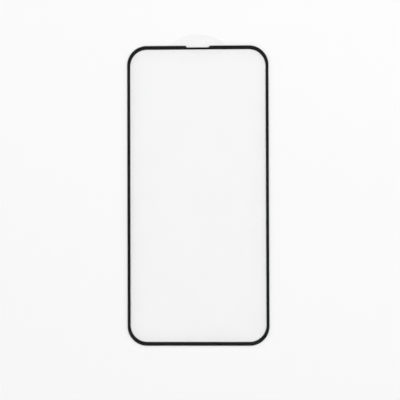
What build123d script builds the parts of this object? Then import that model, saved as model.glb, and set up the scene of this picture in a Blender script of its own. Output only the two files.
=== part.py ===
from build123d import *
from math import sqrt
import os

# Full-cover tempered-glass screen protector for a phone, lying face up on its release liner.
# From the bottom up: a clear release liner with a pull tab, a clear adhesive sheet, a black border
# printed on the back of the glass, and the glass with its ground upper rim and speaker notch.
# The origin is under the middle of the glass, on the liner's underside. +Y points to the notch and
# +Z out of the face that a finger touches. All sizes are in millimetres.

# Glass sheet
glass_width = 67.0
glass_length = 142.0
glass_corner_radius = 9.25
glass_thickness = 0.33

# Ground upper rim: an arc that leaves the flat face tangentially and ends on the side wall
rim_width = 0.4
rim_drop = 0.17

# Chamfer that dulls the lower edge
seam_chamfer = 0.05

# Speaker notch in the middle of the top edge, its width taken at half its depth
notch_width = 10.85
notch_depth = 0.8

# Radius left on the flat face where the ground rim turns into the notch
notch_turn_radius = 0.05

# Printed border, its widths measured from the glass edge
border_side_width = 1.4
border_end_width = 1.78
window_corner_radius = 8.0
print_thickness = 0.02

# Adhesive sheet
adhesive_thickness = 0.15
adhesive_setback = 0.3

# Release liner and its pull tab
liner_thickness = 0.1
liner_setback = 0.15
tab_radius = 19.5
tab_reach = 5.5
tab_blend_radius = 1.5

# Heights of the layers
glass_back = liner_thickness + adhesive_thickness
print_back = glass_back - print_thickness

# Each end of the notch is a step of two equal arcs, wide enough for the rim to turn on
step_radius = rim_width + notch_turn_radius
step_run = sqrt(4 * step_radius * notch_depth - notch_depth**2)
half_width = glass_width / 2
half_length = glass_length / 2
notch_floor = Vector((notch_width - step_run) / 2, half_length - notch_depth)
notch_mouth = Vector((notch_width + step_run) / 2, half_length)
mid_step = (notch_floor + notch_mouth) / 2

# Right half of the glass outline, from the middle of the notch round to the bottom edge
with BuildLine() as half_outline:
    Line((0, notch_floor.Y), notch_floor)
    floor_arc = TangentArc(notch_floor, mid_step, tangent=(1, 0))
    TangentArc(mid_step, notch_mouth, tangent=floor_arc % 1)
    FilletPolyline(
        notch_mouth,
        (half_width, half_length),
        (half_width, -half_length),
        (0, -half_length),
        radius=glass_corner_radius,
    )

with BuildSketch() as glass_outline:
    with BuildLine():
        add(half_outline.line)
        mirror(about=Plane.YZ)
    make_face()

# Clear window inside the printed border
with BuildSketch() as window:
    RectangleRounded(
        glass_width - 2 * border_side_width, glass_length - 2 * border_end_width, window_corner_radius
    )

# Glass: the ground rim swept round one half and mirrored, then the flat plate inside it
with BuildPart() as glass_sheet:
    with BuildSketch(Plane((0, notch_floor.Y, glass_back), x_dir=(0, -1, 0), z_dir=(-1, 0, 0))):
        with BuildLine():
            Polyline(
                (rim_width, glass_thickness),
                (rim_width, 0),
                (seam_chamfer, 0),
                (0, seam_chamfer),
                (0, glass_thickness - rim_drop),
            )
            TangentArc((rim_width, glass_thickness), (0, glass_thickness - rim_drop), tangent=(-1, 0))
        make_face()
    sweep(path=half_outline.line.moved(Pos(0, 0, glass_back)))
    mirror(about=Plane.YZ)
    with BuildSketch(Plane.XY.offset(glass_back)):
        add(glass_outline.sketch)
        offset(amount=-rim_width)
    extrude(amount=glass_thickness)

# Border: ink on the flat back of the glass, from its chamfered edge in to the window
with BuildPart() as border_print:
    with BuildSketch(Plane.XY.offset(print_back)):
        add(glass_outline.sketch)
        offset(amount=-seam_chamfer)
        add(window.sketch, mode=Mode.SUBTRACT)
    extrude(amount=print_thickness)

# Adhesive: a sheet under the ink with a raised field that fills the window up to the glass
with BuildPart() as adhesive_layer:
    with BuildSketch(Plane.XY.offset(liner_thickness)):
        add(glass_outline.sketch)
        offset(amount=-adhesive_setback)
    extrude(amount=adhesive_thickness - print_thickness)
    with BuildSketch(Plane.XY.offset(print_back)):
        add(window.sketch)
    extrude(amount=print_thickness)

# Liner: film cut just inside the glass, with a rounded tab blended into its top edge
with BuildPart() as release_liner:
    with BuildSketch() as film:
        RectangleRounded(
            glass_width - 2 * liner_setback,
            glass_length - 2 * liner_setback,
            glass_corner_radius - liner_setback,
        )
        with Locations((0, half_length + tab_reach - tab_radius)):
            Circle(tab_radius)
        tab_roots = film.vertices().group_by(Axis.Y)[-1].sort_by(Axis.X)[1:-1]
        fillet(tab_roots, tab_blend_radius)
    extrude(amount=liner_thickness)

pieces = {
    "glass_sheet": glass_sheet,
    "border_print": border_print,
    "adhesive_layer": adhesive_layer,
    "release_liner": release_liner,
}

os.makedirs("parts", exist_ok=True)
for name, piece in pieces.items():
    piece.part.label = name
    export_step(piece.part, f"parts/{name}.step")
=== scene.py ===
"""Dressed model of a full-cover phone screen protector, lying face up on its release liner.

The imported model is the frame: each layer's width, length, heights and setbacks are read from its node.
Radii and widths within a layer aren't in the frame, so they are given here, in millimetres. Every layer
is a cut sheet, and one Geometry Nodes tree makes all four of them from their outlines.
"""

import logging
import math
from abc import ABC, abstractmethod
from collections.abc import Iterable
from dataclasses import dataclass, field, replace
from enum import Enum
from typing import Any

import bmesh
import bpy
from mathutils import Matrix, Vector


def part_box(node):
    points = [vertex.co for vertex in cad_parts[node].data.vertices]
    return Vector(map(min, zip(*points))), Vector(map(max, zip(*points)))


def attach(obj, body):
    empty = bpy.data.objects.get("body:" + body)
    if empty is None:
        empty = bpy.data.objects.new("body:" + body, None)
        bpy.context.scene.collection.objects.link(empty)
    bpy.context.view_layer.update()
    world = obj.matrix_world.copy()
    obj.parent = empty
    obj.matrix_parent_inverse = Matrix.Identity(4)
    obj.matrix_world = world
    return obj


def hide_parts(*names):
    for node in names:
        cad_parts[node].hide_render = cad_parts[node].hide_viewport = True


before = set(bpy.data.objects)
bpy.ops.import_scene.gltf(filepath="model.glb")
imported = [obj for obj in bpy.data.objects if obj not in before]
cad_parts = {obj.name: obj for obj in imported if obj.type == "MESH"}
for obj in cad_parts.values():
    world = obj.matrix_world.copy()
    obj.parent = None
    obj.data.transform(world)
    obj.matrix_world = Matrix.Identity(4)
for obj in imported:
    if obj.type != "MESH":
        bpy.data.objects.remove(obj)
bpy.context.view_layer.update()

LOG = logging.getLogger("screen_protector")

# One millimetre in metres: sizes are given in millimetres here, and Blender works in metres
MM = 0.001

# Directions on an arc and the turn between them, in degrees
RIGHT, UP, LEFT, DOWN = 0.0, 90.0, 180.0, -90.0
QUARTER_TURN = 90.0

# How far a chord may lie inside its arc, in millimetres
CHORD_ERROR = 0.001

# Points nearer than this are one point, in millimetres
NEAR = 0.0005

# Clearance under each bonded face, in millimetres, so that two layers never share a plane
BOND_GAP = 0.002

# A face is flat where its normal's upright share is at least this
FLAT = 0.9999

# Edges that turn by more than this many degrees stay crisp
CRISP_ANGLE = 25.0

# Point attribute of the outlines that a raised field follows
STEP_FLAG = "step_up"

# The sRGB curve: a straight foot up to a limit, and a power law above it
SRGB_FOOT = 0.04045
SRGB_SLOPE = 12.92
SRGB_OFFSET = 0.055
SRGB_POWER = 2.4

# Values between which nearly all of a noise texture lies
NOISE_REACH = (0.3, 0.7)

# Distance between the bands of a wave texture whose scale is 1
WAVE_SPACING = math.pi / 10

# Power of the usual rule for how mirroring rises towards a grazing view
GRAZING_POWER = 5.0

# Factor that takes the height out of a vector
LEVEL = (1.0, 1.0, 0.0)

Point = tuple[float, float]
Range = tuple[float, float]
Tree = bpy.types.NodeTree
Socket = bpy.types.NodeSocket
Value = float | Socket


def linear(code: str) -> tuple[float, float, float, float]:
    """Turns an sRGB colour into linear light.

    Args:
        code: Colour as '#rrggbb'.
    Returns:
        Linear red, green and blue, and an alpha of 1.
    """
    red, green, blue = (
        share / SRGB_SLOPE
        if share <= SRGB_FOOT
        else ((share + SRGB_OFFSET) / (1 + SRGB_OFFSET)) ** SRGB_POWER
        for share in (level / 255 for level in bytes.fromhex(code[1:]))
    )
    return red, green, blue, 1.0


def add_node(
    tree: Tree,
    kind: str,
    inputs: dict[str | int, Any] | None = None,
    output: str | None = None,
    **settings: Any,
) -> Socket | None:
    """Adds one node with its settings, values and links.

    Args:
        tree: Tree that gets the node.
        kind: Blender's type name of the node.
        inputs: For each input, by name or index, its value, the socket to link, or a list of sockets.
        output: Name of the wanted output, where that isn't the first one in use.
        settings: The node's own properties.
    Returns:
        The wanted output, or None from a node that has none.
    """
    node = tree.nodes.new(kind)
    for name, value in settings.items():
        setattr(node, name, value)
    for key, value in (inputs or {}).items():
        live = (s for s in node.inputs if s.enabled and s.name == key)
        socket = node.inputs[key] if isinstance(key, int) else next(live)
        if isinstance(value, (Socket, list)):
            for source in value if isinstance(value, list) else [value]:
                tree.links.new(source, socket)
        else:
            socket.default_value = value
    return next((s for s in node.outputs if s.enabled and output in (None, s.name)), None)


def add_object(name: str, data: bpy.types.ID) -> bpy.types.Object:
    """Adds an object to the scene, at the origin.

    Args:
        name: The object's name.
        data: Its mesh, lamp or camera.
    Returns:
        The object.
    """
    thing = bpy.data.objects.new(name, data)
    bpy.context.scene.collection.objects.link(thing)
    return thing


@dataclass(frozen=True)
class Arc:
    """Round stretch of an outline, in millimetres and degrees, walked with the sheet on the left.

    An anticlockwise arc is an outer corner and a clockwise one is an inner corner. Straight stretches
    run from the end of one arc to the start of the next.
    """

    centre: Point
    radius: float
    start: float
    end: float

    def inset(self, by: float) -> "Arc":
        """Moves the arc into the sheet by so many millimetres, about the same centre."""
        outer = self.end > self.start
        return replace(self, radius=self.radius - by if outer else self.radius + by)

    def turned(self) -> "Arc":
        """The same arc walked the other way."""
        return replace(self, start=self.end, end=self.start)

    def points(self) -> list[Point]:
        """Divides the arc finely enough to look round.

        Returns:
            Points along the arc, from its start to its end.
        """
        step = 2 * math.acos(1 - CHORD_ERROR / self.radius)
        sweep = math.radians(self.end - self.start)
        count = math.ceil(abs(sweep) / step)
        angles = [math.radians(self.start) + sweep * i / count for i in range(count + 1)]
        x, y = self.centre
        return [(x + self.radius * math.cos(a), y + self.radius * math.sin(a)) for a in angles]


@dataclass(frozen=True)
class Outline:
    """Closed outline of a sheet, as its arcs in walking order."""

    arcs: tuple[Arc, ...]

    @classmethod
    def rectangle(cls, half_width: float, half_length: float, radius: float) -> "Outline":
        """Makes a rounded rectangle about the origin.

        Args:
            half_width: Half of its size along X.
            half_length: Half of its size along Y.
            radius: Radius of its corners.
        Returns:
            The four corners, anticlockwise from the lower right one.
        """
        x, y = half_width - radius, half_length - radius
        corners = ((DOWN, (x, -y)), (RIGHT, (x, y)), (UP, (-x, y)), (LEFT, (-x, -y)))
        return cls(tuple(Arc(place, radius, start, start + QUARTER_TURN) for start, place in corners))

    def with_top(self, arcs: Iterable[Arc]) -> "Outline":
        """Puts arcs into the top edge, between the two upper corners."""
        lower_right, upper_right, *rest = self.arcs
        return Outline((lower_right, upper_right, *arcs, *rest))

    def inset(self, by: float) -> "Outline":
        """Moves the whole outline into the sheet by so many millimetres."""
        return Outline(tuple(arc.inset(by) for arc in self.arcs))

    def as_hole(self) -> "Outline":
        """The same outline with the sheet outside it."""
        return Outline(tuple(arc.turned() for arc in reversed(self.arcs)))

    def points(self) -> list[Point]:
        """Points along all its arcs, in order."""
        return [point for arc in self.arcs for point in arc.points()]


class Zone(Enum):
    """Faces of a cut sheet that have a finish of their own, named as the inputs of the tree."""

    FACE = "Face finish"
    EDGE = "Edge finish"
    BACK = "Back finish"


@dataclass(frozen=True, kw_only=True)
class Finish(ABC):
    """What a surface is made of and how it was made; sizes in millimetres."""

    name: str

    @abstractmethod
    def surface(self, tree: Tree) -> Socket:
        """Adds the finish's nodes to its material's tree and gives the shader."""

    def material(self) -> bpy.types.Material:
        """Makes the finish's material.

        Returns:
            The material, named for what the surface is made of.
        """
        material = bpy.data.materials.new(self.name)
        material.use_nodes = True
        material.node_tree.nodes.clear()
        shader = self.surface(material.node_tree)
        add_node(material.node_tree, "ShaderNodeOutputMaterial", {"Surface": shader})
        return material


@dataclass(frozen=True)
class SheetSizes:
    """Sizes of a cut sheet in millimetres.

    They are its height above the board, thickness, ground upper rim, the chamfer on its lower edge, and
    how far its raised field stands up.
    """

    base_height: float
    thickness: float
    rim_width: float = 0.0
    rim_drop: float = 0.0
    seam_chamfer: float = 0.0
    step_height: float = 0.0

    def inputs(self) -> dict[str, float]:
        """The tree's size inputs, by name, in metres."""
        return {name.replace("_", " ").capitalize(): size * MM for name, size in vars(self).items()}


@dataclass
class SheetCutter:
    """Geometry Nodes tree that turns flat outlines into a closed sheet with a shaped edge.

    The edge profile is swept along the outlines, flat faces are filled in between, and a field that
    follows the flagged outlines is raised on the upper face.
    """

    rim_steps: int = 14
    tree: Tree = field(init=False)
    given: bpy.types.NodeOutputs = field(init=False)
    identifiers: dict[str, str] = field(init=False)

    def __post_init__(self) -> None:
        """Builds the tree and notes the identifiers of its inputs."""
        self.tree = bpy.data.node_groups.new("cut_sheet", "GeometryNodeTree")
        face = self.tree.interface
        kinds = {
            "Outlines": "Geometry",
            **dict.fromkeys(SheetSizes(0.0, 0.0).inputs(), "Float"),
            "Rim steps": "Int",
            **dict.fromkeys((zone.value for zone in Zone), "Material"),
        }
        self.identifiers = {
            name: face.new_socket(name, in_out="INPUT", socket_type=f"NodeSocket{kind}").identifier
            for name, kind in kinds.items()
        }
        face.new_socket("Sheet", in_out="OUTPUT", socket_type="NodeSocketGeometry")
        self.given = add_node(self.tree, "NodeGroupInput").node.outputs
        sheet = self._shift(self._join(self._skin()), Z=self.given["Base height"])
        add_node(self.tree, "NodeGroupOutput", {"Sheet": self._finish(sheet)})

    def _shift(self, shape: Socket, **along: Value) -> Socket:
        """Moves a shape along the named axes."""
        by = add_node(self.tree, "ShaderNodeCombineXYZ", along)
        return add_node(self.tree, "GeometryNodeTransform", {"Geometry": shape, "Translation": by})

    def _join(self, shapes: list[Socket]) -> Socket:
        """Joins shapes and closes the seams between them."""
        joined = add_node(self.tree, "GeometryNodeJoinGeometry", {"Geometry": shapes})
        return add_node(self.tree, "GeometryNodeMergeByDistance", {0: joined, "Distance": NEAR * MM})

    def _profile_line(self, *ends: tuple[Value, Value]) -> Socket:
        """Draws a straight stretch of an edge profile, between two ends at a depth and a height."""
        start, end = (add_node(self.tree, "ShaderNodeCombineXYZ", {"X": x, "Y": y}) for x, y in ends)
        return add_node(self.tree, "GeometryNodeCurvePrimitiveLine", {"Start": start, "End": end})

    def _ground_arc(self) -> Socket:
        """Draws the ground rim, which leaves the flat face tangentially and ends on top of the wall.

        Returns:
            The arc, from the flat face down.
        """
        tree, width, drop = self.tree, self.given["Rim width"], self.given["Rim drop"]
        # A tangent arc turns by twice the slope of its chord
        slope = add_node(tree, "ShaderNodeMath", {0: drop, 1: width}, operation="ARCTAN2")
        turn = add_node(tree, "ShaderNodeMath", {0: slope, 1: slope}, operation="ADD")
        sine = add_node(tree, "ShaderNodeMath", {0: turn}, operation="SINE")
        radius = add_node(tree, "ShaderNodeMath", {0: width, 1: sine}, operation="DIVIDE")
        arc = {
            "Resolution": self.given["Rim steps"],
            "Radius": radius,
            "Start Angle": math.radians(UP),
            "Sweep Angle": turn,
        }
        level = {0: self.given["Thickness"], 1: radius}
        height = add_node(tree, "ShaderNodeMath", level, operation="SUBTRACT")
        return self._shift(add_node(tree, "GeometryNodeCurveArc", arc), X=width, Y=height)

    def _sweep(self, path: Socket, profile: Socket) -> Socket:
        """Sweeps a profile along outlines, upright all the way.

        Args:
            path: The outlines.
            profile: The edge profile, turned here to lead into the sheet and upwards.
        Returns:
            The swept band.
        """
        upright = add_node(self.tree, "GeometryNodeSetCurveNormal", {"Curve": path}, mode="Z_UP")
        half_turn = {"Geometry": profile, "Rotation": (0.0, 0.0, math.pi)}
        turned = add_node(self.tree, "GeometryNodeTransform", half_turn)
        return add_node(self.tree, "GeometryNodeCurveToMesh", {"Curve": upright, "Profile Curve": turned})

    def _fill(self, outlines: Socket, height: Value) -> Socket:
        """Fills the area between outlines at a height."""
        filled = add_node(self.tree, "GeometryNodeFillCurve", {"Curve": outlines}, mode="NGONS")
        return self._shift(filled, Z=height)

    def _rim_loops(self, band: Socket) -> list[Socket]:
        """Finds the open loops of the swept band, above and below the middle of the sheet.

        Args:
            band: The swept edge.
        Returns:
            The upper loops and the lower loops, as curves.
        """
        tree = self.tree
        faces = {"A": add_node(tree, "GeometryNodeInputMeshEdgeNeighbors"), "B": 1}
        lone = add_node(tree, "FunctionNodeCompare", faces, data_type="INT", operation="EQUAL")
        place = add_node(tree, "GeometryNodeInputPosition")
        height = add_node(tree, "ShaderNodeSeparateXYZ", {"Vector": place}, "Z")
        twice_height = add_node(tree, "ShaderNodeMath", {0: height, 1: height}, operation="ADD")
        levels = {"A": twice_height, "B": self.given["Thickness"]}
        loops: list[Socket] = []
        for side in ("GREATER_THAN", "LESS_THAN"):
            there = add_node(tree, "FunctionNodeCompare", levels, operation=side)
            both = add_node(tree, "FunctionNodeBooleanMath", {0: lone, 1: there})
            loops.append(add_node(tree, "GeometryNodeMeshToCurve", {"Mesh": band, "Selection": both}))
        return loops

    def _skin(self) -> list[Socket]:
        """Makes all faces of the sheet, with its underside at height zero.

        Returns:
            The edge, the upper face, the step with its raised field, and the underside.
        """
        tree, thickness, chamfer = self.tree, self.given["Thickness"], self.given["Seam chamfer"]
        flag = add_node(tree, "GeometryNodeInputNamedAttribute", {"Name": STEP_FLAG}, data_type="BOOLEAN")
        flagged = {"Geometry": self.given["Outlines"], "Selection": flag}
        parted = add_node(tree, "GeometryNodeSeparateGeometry", flagged).node.outputs
        step, cut = (
            add_node(tree, "GeometryNodeMeshToCurve", {"Mesh": parted[share]})
            for share in ("Selection", "Inverted")
        )
        drop = {0: thickness, 1: self.given["Rim drop"]}
        wall_top = add_node(tree, "ShaderNodeMath", drop, operation="SUBTRACT")
        wall = self._profile_line((0.0, wall_top), (0.0, chamfer))
        seam = self._profile_line((0.0, chamfer), (chamfer, 0.0))
        stretches = {"Geometry": [self._ground_arc(), wall, seam]}
        profile = add_node(tree, "GeometryNodeJoinGeometry", stretches)
        band = self._join([self._sweep(cut, profile)])
        upper, lower = self._rim_loops(band)
        face = add_node(tree, "GeometryNodeJoinGeometry", {"Geometry": [upper, step]})
        rise = {0: thickness, 1: self.given["Step height"]}
        field_top = add_node(tree, "ShaderNodeMath", rise, operation="ADD")
        return [
            band,
            self._fill(face, thickness),
            self._sweep(step, self._profile_line((0.0, field_top), (0.0, thickness))),
            self._fill(step, field_top),
            add_node(tree, "GeometryNodeFlipFaces", {"Mesh": self._fill(lower, 0.0)}),
        ]

    def _finish(self, sheet: Socket) -> Socket:
        """Shades the rounded edge smooth, keeps crisp edges crisp, and gives each zone its material.

        Args:
            sheet: The closed sheet.
        Returns:
            The finished sheet.
        """
        tree = self.tree
        normal = add_node(tree, "GeometryNodeInputNormal", output="True Normal")
        upward = add_node(tree, "ShaderNodeSeparateXYZ", {"Vector": normal}, "Z")
        below = {
            zone: add_node(tree, "FunctionNodeCompare", {"A": upward, "B": limit}, operation="LESS_THAN")
            for zone, limit in ((Zone.EDGE, FLAT), (Zone.BACK, -FLAT))
        }
        rounded = {"Geometry": sheet, "Selection": below[Zone.EDGE], "Shade Smooth": True}
        smooth = add_node(tree, "GeometryNodeSetShadeSmooth", rounded)
        angle = add_node(tree, "GeometryNodeInputMeshEdgeAngle", output="Unsigned Angle")
        turn = {"A": angle, "B": math.radians(CRISP_ANGLE)}
        sharp = add_node(tree, "FunctionNodeCompare", turn, operation="GREATER_THAN")
        kept = {"Geometry": smooth, "Selection": sharp, "Shade Smooth": False}
        crisp = add_node(tree, "GeometryNodeSetShadeSmooth", kept, domain="EDGE")
        plain = add_node(tree, "GeometryNodeRemoveAttribute", {"Geometry": crisp, "Name": STEP_FLAG})
        shape = add_node(tree, "GeometryNodeRealizeInstances", {"Geometry": plain})
        for zone in Zone:
            dress = {"Geometry": shape, "Material": self.given[zone.value]}
            if zone in below:
                dress["Selection"] = below[zone]
            shape = add_node(tree, "GeometryNodeSetMaterial", dress)
        return shape

    def cut(
        self,
        name: str,
        sizes: SheetSizes,
        finishes: dict[Zone, Finish],
        outlines: list[Outline],
        steps: Iterable[Outline] = (),
    ) -> bpy.types.Object:
        """Cuts one sheet.

        Args:
            name: Name of the finished piece.
            sizes: Its heights and edge sizes.
            finishes: The finish of each of its zones.
            outlines: Where it is cut.
            steps: Where its upper face steps up to a raised field.
        Returns:
            The piece as a plain mesh object at the origin.
        """
        points: list[tuple[float, float, float]] = []
        edges: list[tuple[int, int]] = []
        flags: list[bool] = []
        for outline, raised in [(o, False) for o in outlines] + [(o, True) for o in steps]:
            loop = [(x * MM, y * MM, 0.0) for x, y in outline.points()]
            first, count = len(points), len(loop)
            edges += [(first + i, first + (i + 1) % count) for i in range(count)]
            flags += [raised] * count
            points += loop
        wires = bpy.data.meshes.new(name)
        wires.from_pydata(points, edges, [])
        wires.attributes.new(STEP_FLAG, "BOOLEAN", "POINT").data.foreach_set("value", flags)
        blank = add_object(f"{name}_outline", wires)
        modifier = blank.modifiers.new("cut", "NODES")
        modifier.node_group = self.tree
        materials = {finish: finish.material() for finish in dict.fromkeys(finishes.values())}
        settings: dict[str, Any] = {**sizes.inputs(), "Rim steps": self.rim_steps}
        settings |= {zone.value: materials[finish] for zone, finish in finishes.items()}
        for key, value in settings.items():
            modifier[self.identifiers[key]] = value
        graph = bpy.context.evaluated_depsgraph_get()
        mesh = bpy.data.meshes.new_from_object(blank.evaluated_get(graph), depsgraph=graph)
        blank.modifiers.remove(modifier)
        bpy.data.objects.remove(blank)
        bpy.data.meshes.remove(wires)
        mesh.name = name
        return add_object(name, mesh)


def pattern(
    tree: Tree,
    size: float,
    reach: Range = (0.0, 1.0),
    detail: float = 2.0,
    stretch: Point = (1.0, 1.0),
) -> Socket:
    """Adds an uneven pattern on Object coordinates.

    Args:
        tree: Material's tree.
        size: Size of its patches in millimetres.
        reach: Its lowest and highest value.
        detail: How many finer layers it holds.
        stretch: How many times longer the patches are along X and along Y.
    Returns:
        The pattern's value.
    """
    place = add_node(tree, "ShaderNodeTexCoord", output="Object")
    across, along = stretch
    scales = {"Vector": place, "Scale": (1 / across, 1 / along, 1.0)}
    mapped = add_node(tree, "ShaderNodeMapping", scales)
    patches = {"Vector": mapped, "Scale": 1 / (size * MM), "Detail": detail}
    noise = add_node(tree, "ShaderNodeTexNoise", patches)
    low, high = NOISE_REACH
    limits = {"Value": noise, "From Min": low, "From Max": high, "To Min": reach[0], "To Max": reach[1]}
    return add_node(tree, "ShaderNodeMapRange", limits)


def mirror_coat(tree: Tree, body: Socket, mirror: Range, bare: Value = 1.0, **gloss: Socket) -> Socket:
    """Lays a clear surface over a body, with a mirror that gets stronger towards a grazing view.

    Args:
        tree: Material's tree.
        body: Shader under the surface.
        mirror: Share of light mirrored straight on and at a grazing angle.
        bare: 1 where the surface is bare, and 0 where a bond leaves nothing to mirror.
        gloss: The surface's roughness, and its normal where it isn't smooth.
    Returns:
        The whole shader.
    """
    facing = add_node(tree, "ShaderNodeLayerWeight", output="Facing")
    rise = add_node(tree, "ShaderNodeMath", {0: facing, 1: GRAZING_POWER}, operation="POWER")
    straight, grazing = mirror
    limits = {"Value": rise, "To Min": straight, "To Max": grazing}
    seen = add_node(tree, "ShaderNodeMapRange", limits)
    share = add_node(tree, "ShaderNodeMath", {0: seen, 1: bare}, operation="MULTIPLY")
    skin = add_node(tree, "ShaderNodeBsdfAnisotropic", gloss)
    return add_node(tree, "ShaderNodeMixShader", {0: share, 1: body, 2: skin})


def hazy_body(tree: Tree, tint: str, haze_tint: str, haze: Value) -> Socket:
    """Adds a clear body that scatters some of the light.

    Args:
        tree: Material's tree.
        tint: Colour of what goes through.
        haze_tint: Colour of what is scattered.
        haze: Share that is scattered.
    Returns:
        The body's shader.
    """
    clear = add_node(tree, "ShaderNodeBsdfTransparent", {"Color": linear(tint)})
    cloud = add_node(tree, "ShaderNodeBsdfDiffuse", {"Color": linear(haze_tint)})
    return add_node(tree, "ShaderNodeMixShader", {0: haze, 1: clear, 2: cloud})


def looking_ray(tree: Tree) -> Socket:
    """Tells what the camera sees, straight or in a mirror or through glass, from what lights the set.

    Args:
        tree: Tree of the world or of a stage material.
    Returns:
        1 for a ray that looks, and 0 for one that lights.
    """
    path = add_node(tree, "ShaderNodeLightPath").node.outputs
    looks = path["Is Camera Ray"]
    for kind in ("Is Glossy Ray", "Is Transmission Ray"):
        looks = add_node(tree, "ShaderNodeMath", {0: looks, 1: path[kind]}, operation="MAXIMUM")
    return looks


@dataclass(frozen=True, kw_only=True)
class PolishedGlass(Finish):
    """Ion-strengthened sheet glass with a polished, oil-repellent face.

    To the eye it is a clear pane with sharp reflections that waver a little and dull slightly along
    wipe marks.
    """

    name: str = "tempered_glass_polished"
    tint: str = "#ffffff"
    mirror: Range = (0.025, 1.0)
    roughness: Range = (0.015, 0.05)
    wipe_mark: float = 18.0
    wipe_detail: float = 4.0
    wipe_stretch: Point = (3.0, 1.0)
    wave: float = 14.0
    wave_detail: float = 0.0
    wave_height: float = 0.0016

    def surface(self, tree: Tree) -> Socket:
        """Lays a faint mirror over a clear pane.

        Args:
            tree: Material's tree.
        Returns:
            The shader.
        """
        height = pattern(tree, self.wave, detail=self.wave_detail)
        waves = {"Height": height, "Distance": self.wave_height * MM}
        marks = pattern(tree, self.wipe_mark, self.roughness, self.wipe_detail, self.wipe_stretch)
        bump = add_node(tree, "ShaderNodeBump", waves)
        clear = add_node(tree, "ShaderNodeBsdfTransparent", {"Color": linear(self.tint)})
        pane = mirror_coat(tree, clear, self.mirror, Roughness=marks, Normal=bump)
        # Light going to and fro under the pane makes up for what it mirrors away, so lamps pass it whole
        lamp = add_node(tree, "ShaderNodeLightPath", output="Is Shadow Ray")
        open_way = add_node(tree, "ShaderNodeBsdfTransparent")
        return add_node(tree, "ShaderNodeMixShader", {0: lamp, 1: pane, 2: open_way})


@dataclass(frozen=True, kw_only=True)
class GroundGlass(Finish):
    """Edge of the glass, ground round and fire-polished.

    To the eye it is a thin dark line with a soft gleam, because one looks along the sheet there and the
    ink shows in it. Light in the sheet doesn't leave by it, so it shades the board alongside.
    """

    name: str = "tempered_glass_ground_edge"
    tint: str = "#565c5a"
    haze_tint: str = "#dfe9e6"
    haze: float = 0.012
    mirror: Range = (0.04, 1.0)
    roughness: Range = (0.10, 0.24)
    # The wheel's grit is about 0.02 mm, too fine to show, so its marks are drawn this coarse
    grit: float = 0.15

    def surface(self, tree: Tree) -> Socket:
        """Lays a dull gleam over the dark edge."""
        body = hazy_body(tree, self.tint, self.haze_tint, self.haze)
        return mirror_coat(tree, body, self.mirror, Roughness=pattern(tree, self.grit, self.roughness))


@dataclass(frozen=True, kw_only=True)
class BondedGlass(Finish):
    """Back of the glass where ink and adhesive wet it.

    To the eye there is no surface at all: the bond leaves nothing to mirror, only the odd faint cloud.
    """

    name: str = "tempered_glass_bonded"
    tint: str = "#ffffff"
    cloud: str = "#fefefe"
    cloud_size: float = 9.0

    def surface(self, tree: Tree) -> Socket:
        """Tints a clear face by faint clouds.

        Args:
            tree: Material's tree.
        Returns:
            The shader.
        """
        clouds = pattern(tree, self.cloud_size)
        colours = {"Factor": clouds, "A": linear(self.tint), "B": linear(self.cloud)}
        tint = add_node(tree, "ShaderNodeMix", colours, data_type="RGBA")
        return add_node(tree, "ShaderNodeBsdfTransparent", {"Color": tint})


@dataclass(frozen=True, kw_only=True)
class ScreenInk(Finish):
    """Black two-part glass ink, screen-printed and baked.

    To the eye it is a dense, nearly neutral black without a gloss of its own, with a trace of the mesh
    it was printed through.
    """

    name: str = "black_screen_ink"
    black: str = "#0a0a0b"
    mesh_black: str = "#121214"
    shine: float = 0.02
    roughness: Range = (0.42, 0.58)
    blotch: float = 0.8
    # The screen's threads lie 0.08 mm apart, too fine to show, so they are drawn this far apart
    thread: float = 0.4
    thread_height: float = 0.002
    waver: float = 0.4

    def surface(self, tree: Tree) -> Socket:
        """Prints the mesh's two blacks as low knuckles.

        Args:
            tree: Material's tree.
        Returns:
            The shader.
        """
        place = add_node(tree, "ShaderNodeTexCoord", output="Object")
        scale = WAVE_SPACING / (self.thread * MM)
        bands = {"Vector": place, "Scale": scale, "Distortion": self.waver}
        warp, weft = (
            add_node(tree, "ShaderNodeTexWave", bands, "Fac", bands_direction=axis) for axis in "XY"
        )
        mesh = add_node(tree, "ShaderNodeMath", {0: warp, 1: weft}, operation="MULTIPLY")
        colours = {"Factor": mesh, "A": linear(self.black), "B": linear(self.mesh_black)}
        knuckles = {"Height": mesh, "Distance": self.thread_height * MM}
        look = {
            "Base Color": add_node(tree, "ShaderNodeMix", colours, data_type="RGBA"),
            "Roughness": pattern(tree, self.blotch, self.roughness),
            "Specular IOR Level": self.shine,
            "Normal": add_node(tree, "ShaderNodeBump", knuckles),
        }
        return add_node(tree, "ShaderNodeBsdfPrincipled", look)


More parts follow.
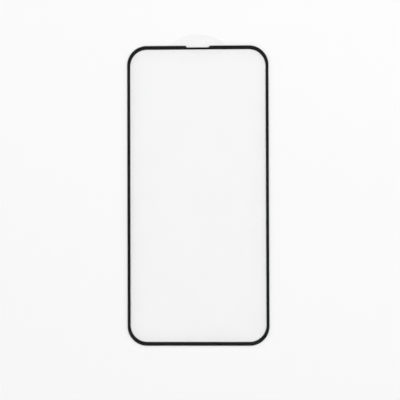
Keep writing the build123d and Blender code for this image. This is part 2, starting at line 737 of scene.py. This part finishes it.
@dataclass(frozen=True, kw_only=True)
class ClearAdhesive(Finish):
    """Coated silicone adhesive.

    To the eye it is clear in the middle of the window. Towards the border its tint holds a painted shade,
    greyer near the ink, standing in for the light that the ink takes as it travels sideways in the sheet.
    """

    name: str = "clear_silicone_adhesive"
    window_half: Point
    window_radius: float
    middle: str = "#ffffff"
    # Painted shade: the tint at the border's inner edge, fading towards the middle over fade millimetres
    border: str = "#fdfdfd"
    fade: float = 3.0

    def surface(self, tree: Tree) -> Socket:
        """Paints shade into the clear sheet's tint, greyer towards the border.

        Args:
            tree: Material's tree.
        Returns:
            The shader.
        """
        near = self._painted_shade_mask(tree)
        colours = {"Factor": near, "A": linear(self.middle), "B": linear(self.border)}
        tint = add_node(tree, "ShaderNodeMix", colours, data_type="RGBA")
        return add_node(tree, "ShaderNodeBsdfTransparent", {"Color": tint})

    def _painted_shade_mask(self, tree: Tree) -> Socket:
        """Works out how near a point is to the window's rounded outline, as the mask of the painted
        shade.

        Args:
            tree: Material's tree.
        Returns:
            A value that falls from 1 at the border's inner edge towards 0 in the middle of the window.
        """
        place = add_node(tree, "ShaderNodeTexCoord", output="Object")
        flat = add_node(tree, "ShaderNodeVectorMath", {0: place, 1: LEVEL}, operation="MULTIPLY")
        folded = add_node(tree, "ShaderNodeVectorMath", {0: flat}, operation="ABSOLUTE")
        radius = self.window_radius * MM
        inner = (*(half * MM - radius for half in self.window_half), 0.0)
        past = add_node(tree, "ShaderNodeVectorMath", {0: folded, 1: inner}, operation="SUBTRACT")
        sides = add_node(tree, "ShaderNodeSeparateXYZ", {"Vector": past}).node.outputs
        nearest = add_node(tree, "ShaderNodeMath", {0: sides["X"], 1: sides["Y"]}, operation="MAXIMUM")
        within = add_node(tree, "ShaderNodeMath", {0: nearest, 1: 0.0}, operation="MINIMUM")
        corner = add_node(tree, "ShaderNodeVectorMath", {0: past, 1: Vector()}, operation="MAXIMUM")
        length = add_node(tree, "ShaderNodeVectorMath", {0: corner}, "Value", operation="LENGTH")
        reach = add_node(tree, "ShaderNodeMath", {0: within, 1: length}, operation="ADD")
        depth = add_node(tree, "ShaderNodeMath", {0: reach, 1: radius}, operation="SUBTRACT")
        steps = add_node(tree, "ShaderNodeMath", {0: depth, 1: self.fade * MM}, operation="DIVIDE")
        share = add_node(tree, "ShaderNodeMath", {0: steps}, operation="EXPONENT")
        return add_node(tree, "ShaderNodeMath", {0: share, 1: 1.0}, operation="MINIMUM")


@dataclass(frozen=True, kw_only=True)
class ReleaseFilm(Finish):
    """Drawn polyester film with a silicone release coat.

    To the eye it is a thin clear sheet, a shade greyer than what it lies on, with faint lines along the
    way it was drawn. Where it is bonded it mirrors nothing.
    """

    bare_from: float
    mirror: Range
    tint: str = "#ffffff"
    haze: float = 0.01
    haze_tint: str = "#f2f3f4"
    roughness: Range = (0.04, 0.12)
    draw_line: float = 1.2
    draw_detail: float = 3.0
    draw_stretch: Point = (1.0, 12.0)
    draw_height: float = 0.00016

    def surface(self, tree: Tree) -> Socket:
        """Lays a mirror over the hazy film where it is bare.

        Args:
            tree: Material's tree.
        Returns:
            The shader.
        """
        body = hazy_body(tree, self.tint, self.haze_tint, self.haze)
        lines, dullness = (
            pattern(tree, self.draw_line, reach, self.draw_detail, self.draw_stretch)
            for reach in ((0.0, 1.0), self.roughness)
        )
        relief = {"Height": lines, "Distance": self.draw_height * MM}
        bump = add_node(tree, "ShaderNodeBump", relief)
        place = add_node(tree, "ShaderNodeTexCoord", output="Object")
        along = add_node(tree, "ShaderNodeSeparateXYZ", {"Vector": place}, "Y")
        start = {0: along, 1: self.bare_from * MM}
        bare = add_node(tree, "ShaderNodeMath", start, operation="GREATER_THAN")
        return mirror_coat(tree, body, self.mirror, bare, Roughness=dullness, Normal=bump)


@dataclass(frozen=True, kw_only=True)
class CutFilm(Finish):
    """Die-cut edge of a polyester film.

    To the eye it is a hair-thin paler or greyer line, because the blade left the edge rough.
    """

    name: str = "polyester_cut_edge"
    tint: str = "#ffffff"
    rough_tint: str = "#f6f7f8"
    rough_share: Range = (0.05, 0.15)
    # The blade's tear marks are about 0.02 mm, too fine to show, so they are drawn this coarse
    tear: float = 0.25

    def surface(self, tree: Tree) -> Socket:
        """Roughens the clear edge by its tear marks."""
        return hazy_body(tree, self.tint, self.rough_tint, pattern(tree, self.tear, self.rough_share))


@dataclass(frozen=True, kw_only=True)
class MattBoard(Finish):
    """Smooth white board under the object, without any gloss.

    To the eye it is an even white that runs into the backdrop with no edge, like a curved studio sweep.
    """

    name: str = "white_matt_board"
    backdrop: float
    white: str = "#fafafa"
    backdrop_white: str = "#ffffff"
    roughness: float = 0.9
    sweep: Range = (150.0, 500.0)

    def surface(self, tree: Tree) -> Socket:
        """Shows the backdrop instead of the board, from where the sweep starts to where it ends.

        Args:
            tree: Material's tree.
        Returns:
            The shader.
        """
        look = {"Base Color": linear(self.white), "Roughness": self.roughness, "Specular IOR Level": 0.0}
        board = add_node(tree, "ShaderNodeBsdfPrincipled", look)
        glow = {"Color": linear(self.backdrop_white), "Strength": self.backdrop}
        backdrop = add_node(tree, "ShaderNodeEmission", glow)
        place = add_node(tree, "ShaderNodeTexCoord", output="Object")
        away = add_node(tree, "ShaderNodeVectorMath", {0: place}, "Value", operation="LENGTH")
        start, end = self.sweep
        limits = {"Value": away, "From Min": start * MM, "From Max": end * MM}
        swept = add_node(tree, "ShaderNodeMapRange", limits, interpolation_type="SMOOTHSTEP")
        share = add_node(tree, "ShaderNodeMath", {0: swept, 1: looking_ray(tree)}, operation="MULTIPLY")
        return add_node(tree, "ShaderNodeMixShader", {0: share, 1: board, 2: backdrop})


@dataclass
class Layer:
    """One sheet of the protector, in the place of the CAD node that it stands for.

    Light that falls on the sheet goes on steeply inside it, so a layer within throws no shade of its own.
    """

    node: str
    shades: bool = False
    low: Vector = field(init=False)
    high: Vector = field(init=False)

    def __post_init__(self) -> None:
        """Reads the node's lowest and highest corner, in millimetres."""
        low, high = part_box(self.node)
        self.low, self.high = low / MM, high / MM

    def setback(self, other: "Layer") -> float:
        """How far this layer's side lies inside another layer's, in millimetres."""
        return other.high.x - self.high.x

    def fasten(self, piece: bpy.types.Object) -> None:
        """Rides the finished piece on the body and lets it stand for its node.

        Args:
            piece: The layer's finished piece.
        """
        piece.visible_shadow = self.shades
        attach(piece, "root")
        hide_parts(self.node)


@dataclass
class GlassSheet(Layer):
    """Tempered glass with a ground upper rim and a notch in its top edge; sizes in millimetres."""

    shades: bool = True
    corner_radius: float = 9.25
    rim_width: float = 0.4
    rim_drop: float = 0.17
    seam_chamfer: float = 0.05
    notch_width: float = 10.85
    notch_depth: float = 0.8
    notch_turn_radius: float = 0.05

    def outline(self) -> Outline:
        """Draws the rounded rectangle with the speaker notch, whose ends are steps of two equal arcs.

        Returns:
            The glass outline.
        """
        radius = self.rim_width + self.notch_turn_radius
        turn = math.degrees(math.acos(1 - self.notch_depth / (2 * radius)))
        reach = radius * math.sin(math.radians(turn))
        mouth, floor = self.notch_width / 2 + reach, self.notch_width / 2 - reach
        upper = self.high.y - radius
        lower = self.high.y - self.notch_depth + radius
        notch = (
            Arc((mouth, upper), radius, UP, UP + turn),
            Arc((floor, lower), radius, DOWN + turn, DOWN),
            Arc((-floor, lower), radius, DOWN, DOWN - turn),
            Arc((-mouth, upper), radius, UP - turn, UP),
        )
        return Outline.rectangle(self.high.x, self.high.y, self.corner_radius).with_top(notch)

    def build(self, cutter: SheetCutter) -> bpy.types.Object:
        """Cuts the glass and dresses its face, edge and back.

        Args:
            cutter: What cuts the sheet.
        Returns:
            The finished piece.
        """
        thickness = self.high.z - self.low.z
        sizes = SheetSizes(self.low.z, thickness, self.rim_width, self.rim_drop, self.seam_chamfer)
        finishes = {Zone.FACE: PolishedGlass(), Zone.EDGE: GroundGlass(), Zone.BACK: BondedGlass()}
        return cutter.cut("tempered_glass_sheet", sizes, finishes, [self.outline()])


@dataclass
class BorderPrint(Layer):
    """Black border on the back of the glass; widths from the glass edge, in millimetres."""

    side_width: float = 1.4
    end_width: float = 1.78
    window_radius: float = 8.0

    def window_half(self, glass: GlassSheet) -> Point:
        """Half of the clear window's width and length."""
        return glass.high.x - self.side_width, glass.high.y - self.end_width

    def window(self, glass: GlassSheet) -> Outline:
        """Outline of the clear window."""
        return Outline.rectangle(*self.window_half(glass), self.window_radius)

    def build(self, cutter: SheetCutter, glass: GlassSheet) -> bpy.types.Object:
        """Cuts the ring of ink and dresses it.

        Args:
            cutter: What cuts the sheet.
            glass: The glass that it is printed on.
        Returns:
            The finished piece.
        """
        sizes = SheetSizes(self.low.z, self.high.z - self.low.z - BOND_GAP)
        outlines = [glass.outline().inset(self.setback(glass)), self.window(glass).as_hole()]
        return cutter.cut("printed_border", sizes, dict.fromkeys(Zone, ScreenInk()), outlines)


@dataclass
class AdhesiveLayer(Layer):
    """Adhesive sheet under the ink, with a raised field that fills the window up to the glass."""

    def build(self, cutter: SheetCutter, glass: GlassSheet, border: BorderPrint) -> bpy.types.Object:
        """Cuts the sheet with its raised field and dresses it.

        Args:
            cutter: What cuts the sheet.
            glass: The glass that it is coated on.
            border: The print that the field is raised in.
        Returns:
            The finished piece.
        """
        sheet_top = border.low.z - BOND_GAP
        step_height = self.high.z - BOND_GAP - sheet_top
        sizes = SheetSizes(self.low.z, sheet_top - self.low.z, step_height=step_height)
        half, radius = border.window_half(glass), border.window_radius
        finishes = dict.fromkeys(Zone, ClearAdhesive(window_half=half, window_radius=radius))
        outline = glass.outline().inset(self.setback(glass))
        steps = [border.window(glass).inset(BOND_GAP)]
        return cutter.cut("clear_adhesive_sheet", sizes, finishes, [outline], steps)


@dataclass
class ReleaseLiner(Layer):
    """Clear film under the adhesive, with a rounded pull tab on its top edge; sizes in millimetres."""

    tab_radius: float = 19.5
    tab_blend_radius: float = 1.5
    die_roll_width: float = 0.09
    die_roll_drop: float = 0.03
    # Shares mirrored straight on and at a grazing angle; the underside lies close to the board
    upper_mirror: Range = (0.05, 1.0)
    under_mirror: Range = (0.03, 0.2)
    # The upper side is bare on the tab and in the notch, from this far inside the glass edge
    bare_margin: float = 1.6

    def outline(self, glass: GlassSheet) -> Outline:
        """Draws the rounded rectangle just inside the glass, with the tab blended into its top edge.

        Args:
            glass: The glass above the film.
        Returns:
            The film's outline.
        """
        setback = self.setback(glass)
        edge = glass.high.y - setback
        tab_centre = self.high.y - self.tab_radius
        blend_height = edge + self.tab_blend_radius
        rise = blend_height - tab_centre
        blend_x = math.sqrt((self.tab_radius + self.tab_blend_radius) ** 2 - rise**2)
        lean = math.degrees(math.atan2(rise, blend_x))
        tab = (
            Arc((blend_x, blend_height), self.tab_blend_radius, DOWN, lean - LEFT),
            Arc((0.0, tab_centre), self.tab_radius, lean, LEFT - lean),
            Arc((-blend_x, blend_height), self.tab_blend_radius, -lean, DOWN),
        )
        radius = glass.corner_radius - setback
        return Outline.rectangle(self.high.x, edge, radius).with_top(tab)

    def build(self, cutter: SheetCutter, glass: GlassSheet) -> bpy.types.Object:
        """Cuts the film and dresses its two sides and its die-cut edge.

        Args:
            cutter: What cuts the sheet.
            glass: The glass above the film.
        Returns:
            The finished piece.
        """
        thickness = self.high.z - self.low.z - BOND_GAP
        sizes = SheetSizes(self.low.z, thickness, self.die_roll_width, self.die_roll_drop)
        upper = ReleaseFilm(
            name="polyester_film_release_side",
            bare_from=glass.high.y - self.bare_margin,
            mirror=self.upper_mirror,
        )
        under = ReleaseFilm(
            name="polyester_film_underside", bare_from=glass.low.y, mirror=self.under_mirror
        )
        finishes = {Zone.FACE: upper, Zone.EDGE: CutFilm(), Zone.BACK: under}
        return cutter.cut("release_liner_film", sizes, finishes, [self.outline(glass)])


@dataclass
class Studio:
    """White table-top studio with a camera above the object; lengths in millimetres, angles in degrees.

    Brightness is given as a share of the light that shows a white board as white.
    """

    floor_half: float = 20000.0
    floor_height: float = -0.02
    white: str = "#ffffff"
    # Light of the room at the horizon and overhead
    low_light: float = 0.15
    high_light: float = 0.89
    # Long soft boxes low on the left and on the right
    box_light: float = 1.7
    box_half_width: float = 40.0
    box_low: float = 8.0
    box_high: float = 34.0
    box_soft: float = 4.0
    # What camera and mirrors see: a white backdrop all round and a darker ceiling
    backdrop: float = 0.9
    ceiling: float = 0.6
    # Lamp beyond the top right corner
    key_share: float = 0.145
    key_place: tuple[float, float, float] = (350.0, 750.0, 800.0)
    key_size: float = 600.0
    # Camera, the point of the board that it looks at, and how far it leans to the right and upwards
    lens: float = 85.0
    sensor: float = 36.0
    distance: float = 447.15
    aim: Point = (0.89, -2.2)
    lean: Point = (1.24, -0.92)
    roll: float = -0.195
    clip: Range = (10.0, 100000.0)
    # How many clear faces a ray may cross
    clear_layers: int = 32

    def build(self) -> None:
        """Sets up the floor, the light and the camera."""
        self._floor()
        self._world()
        self._key()
        self._camera()
        scene = bpy.context.scene
        scene.view_settings.view_transform = "Standard"
        scene.cycles.transparent_max_bounces = self.clear_layers

    def _floor(self) -> None:
        """Lays a plain white board under the object."""
        half, height = self.floor_half * MM, self.floor_height * MM
        signs = ((-1, -1), (1, -1), (1, 1), (-1, 1))
        corners = [(x * half, y * half, height) for x, y in signs]
        mesh = bpy.data.meshes.new("studio_floor")
        mesh.from_pydata(corners, [], [range(len(corners))])
        mesh.materials.append(MattBoard(backdrop=self.backdrop).material())
        floor = add_object("studio_floor", mesh)

    def _world(self) -> None:
        """Lights the set from above and from two soft boxes, in front of a backdrop that is only seen."""
        world = bpy.data.worlds.new("studio_room")
        world.use_nodes = True
        tree = world.node_tree
        tree.nodes.clear()
        ray = add_node(tree, "ShaderNodeTexCoord", output="Generated")
        height = add_node(tree, "ShaderNodeSeparateXYZ", {"Vector": ray}, "Z")
        room, seen = (
            add_node(tree, "ShaderNodeMapRange", {"Value": height, "To Min": low, "To Max": high})
            for low, high in ((self.low_light, self.high_light), (self.backdrop, self.ceiling))
        )
        flat = add_node(tree, "ShaderNodeVectorMath", {0: ray, 1: LEVEL}, operation="MULTIPLY")
        bearing = add_node(tree, "ShaderNodeVectorMath", {0: flat}, operation="NORMALIZE")
        across = add_node(tree, "ShaderNodeSeparateXYZ", {"Vector": bearing}, "X")
        side = add_node(tree, "ShaderNodeMath", {0: across}, operation="ABSOLUTE")
        wide, narrow = (
            math.cos(math.radians(self.box_half_width + sign * self.box_soft)) for sign in (1, -1)
        )
        rise, fall = (
            [math.sin(math.radians(angle + sign * self.box_soft)) for sign in (-1, 1)]
            for angle in (self.box_low, self.box_high)
        )
        glow: Value = self.box_light
        for value, start, end in ((side, wide, narrow), (height, *rise), (height, *reversed(fall))):
            limits = {"Value": value, "From Min": start, "From Max": end}
            edge = add_node(tree, "ShaderNodeMapRange", limits, interpolation_type="SMOOTHSTEP")
            glow = add_node(tree, "ShaderNodeMath", {0: glow, 1: edge}, operation="MULTIPLY")
        light = add_node(tree, "ShaderNodeMath", {0: glow, 1: room}, operation="ADD")
        strength = add_node(tree, "ShaderNodeMix", {"Factor": looking_ray(tree), "A": light, "B": seen})
        shade = {"Color": linear(self.white), "Strength": strength}
        background = add_node(tree, "ShaderNodeBackground", shade)
        add_node(tree, "ShaderNodeOutputWorld", {"Surface": background})
        bpy.context.scene.world = world

    def _key(self) -> None:
        """Adds a weak lamp that makes the top right a little brighter."""
        key = bpy.data.lights.new("window_key", "AREA")
        key.size = self.key_size * MM
        place = Vector(self.key_place) * MM
        # Power of a lamp that faces the object from there and lights a white board by key_share
        key.energy = self.key_share * math.pi**2 * place.length**3 / place.z
        lamp = add_object("window_key", key)
        lamp.location = place
        lamp.rotation_euler = place.to_track_quat("Z", "Y").to_euler()
        lamp.visible_glossy = False

    def _camera(self) -> None:
        """Puts the camera where the photograph was taken from."""
        data = bpy.data.cameras.new("camera")
        data.lens, data.sensor_width = self.lens, self.sensor
        data.clip_start, data.clip_end = (limit * MM for limit in self.clip)
        slope = [math.tan(math.radians(angle)) for angle in self.lean]
        back = Vector((*slope, 1.0)).normalized()
        right = (Vector((1.0, 0.0, 0.0)) - back * back.x).normalized()
        upright = Matrix((right, back.cross(right), back)).transposed()
        rolled = Matrix.Rotation(math.radians(self.roll), 3, back) @ upright
        place = Vector((*self.aim, 0.0)) + back * self.distance
        camera = add_object("camera", data)
        camera.matrix_world = Matrix.Translation(place * MM) @ rolled.to_4x4()
        bpy.context.scene.camera = camera


def measures(piece: bpy.types.Object) -> str:
    """Describes a finished piece.

    Args:
        piece: The piece, a plain mesh.
    Returns:
        Its name, faces, open edges, volume and size.
    """
    faces = len(piece.data.polygons)
    shape = bmesh.new()
    shape.from_mesh(piece.data)
    open_edges = sum(not edge.is_manifold for edge in shape.edges)
    volume = shape.calc_volume(signed=True) / MM**3
    shape.free()
    size = " x ".join(f"{side / MM:.3f}" for side in piece.dimensions)
    return f"{piece.name}: {faces} faces, {open_edges} open edges, {volume:.2f} mm3, {size} mm"


def main() -> None:
    """Builds the four layers from the glass down, then the studio, and notes the model's size."""
    logging.basicConfig(level=logging.INFO, format="%(name)s: %(message)s")
    cutter = SheetCutter()
    glass = GlassSheet("glass_sheet")
    border = BorderPrint("border_print")
    adhesive = AdhesiveLayer("adhesive_layer")
    liner = ReleaseLiner("release_liner")
    pieces = (
        (glass, glass.build(cutter)),
        (border, border.build(cutter, glass)),
        (adhesive, adhesive.build(cutter, glass, border)),
        (liner, liner.build(cutter, glass)),
    )
    for layer, piece in pieces:
        layer.fasten(piece)
        LOG.info(measures(piece))
    Studio().build()


if __name__ == "__main__":
    main()
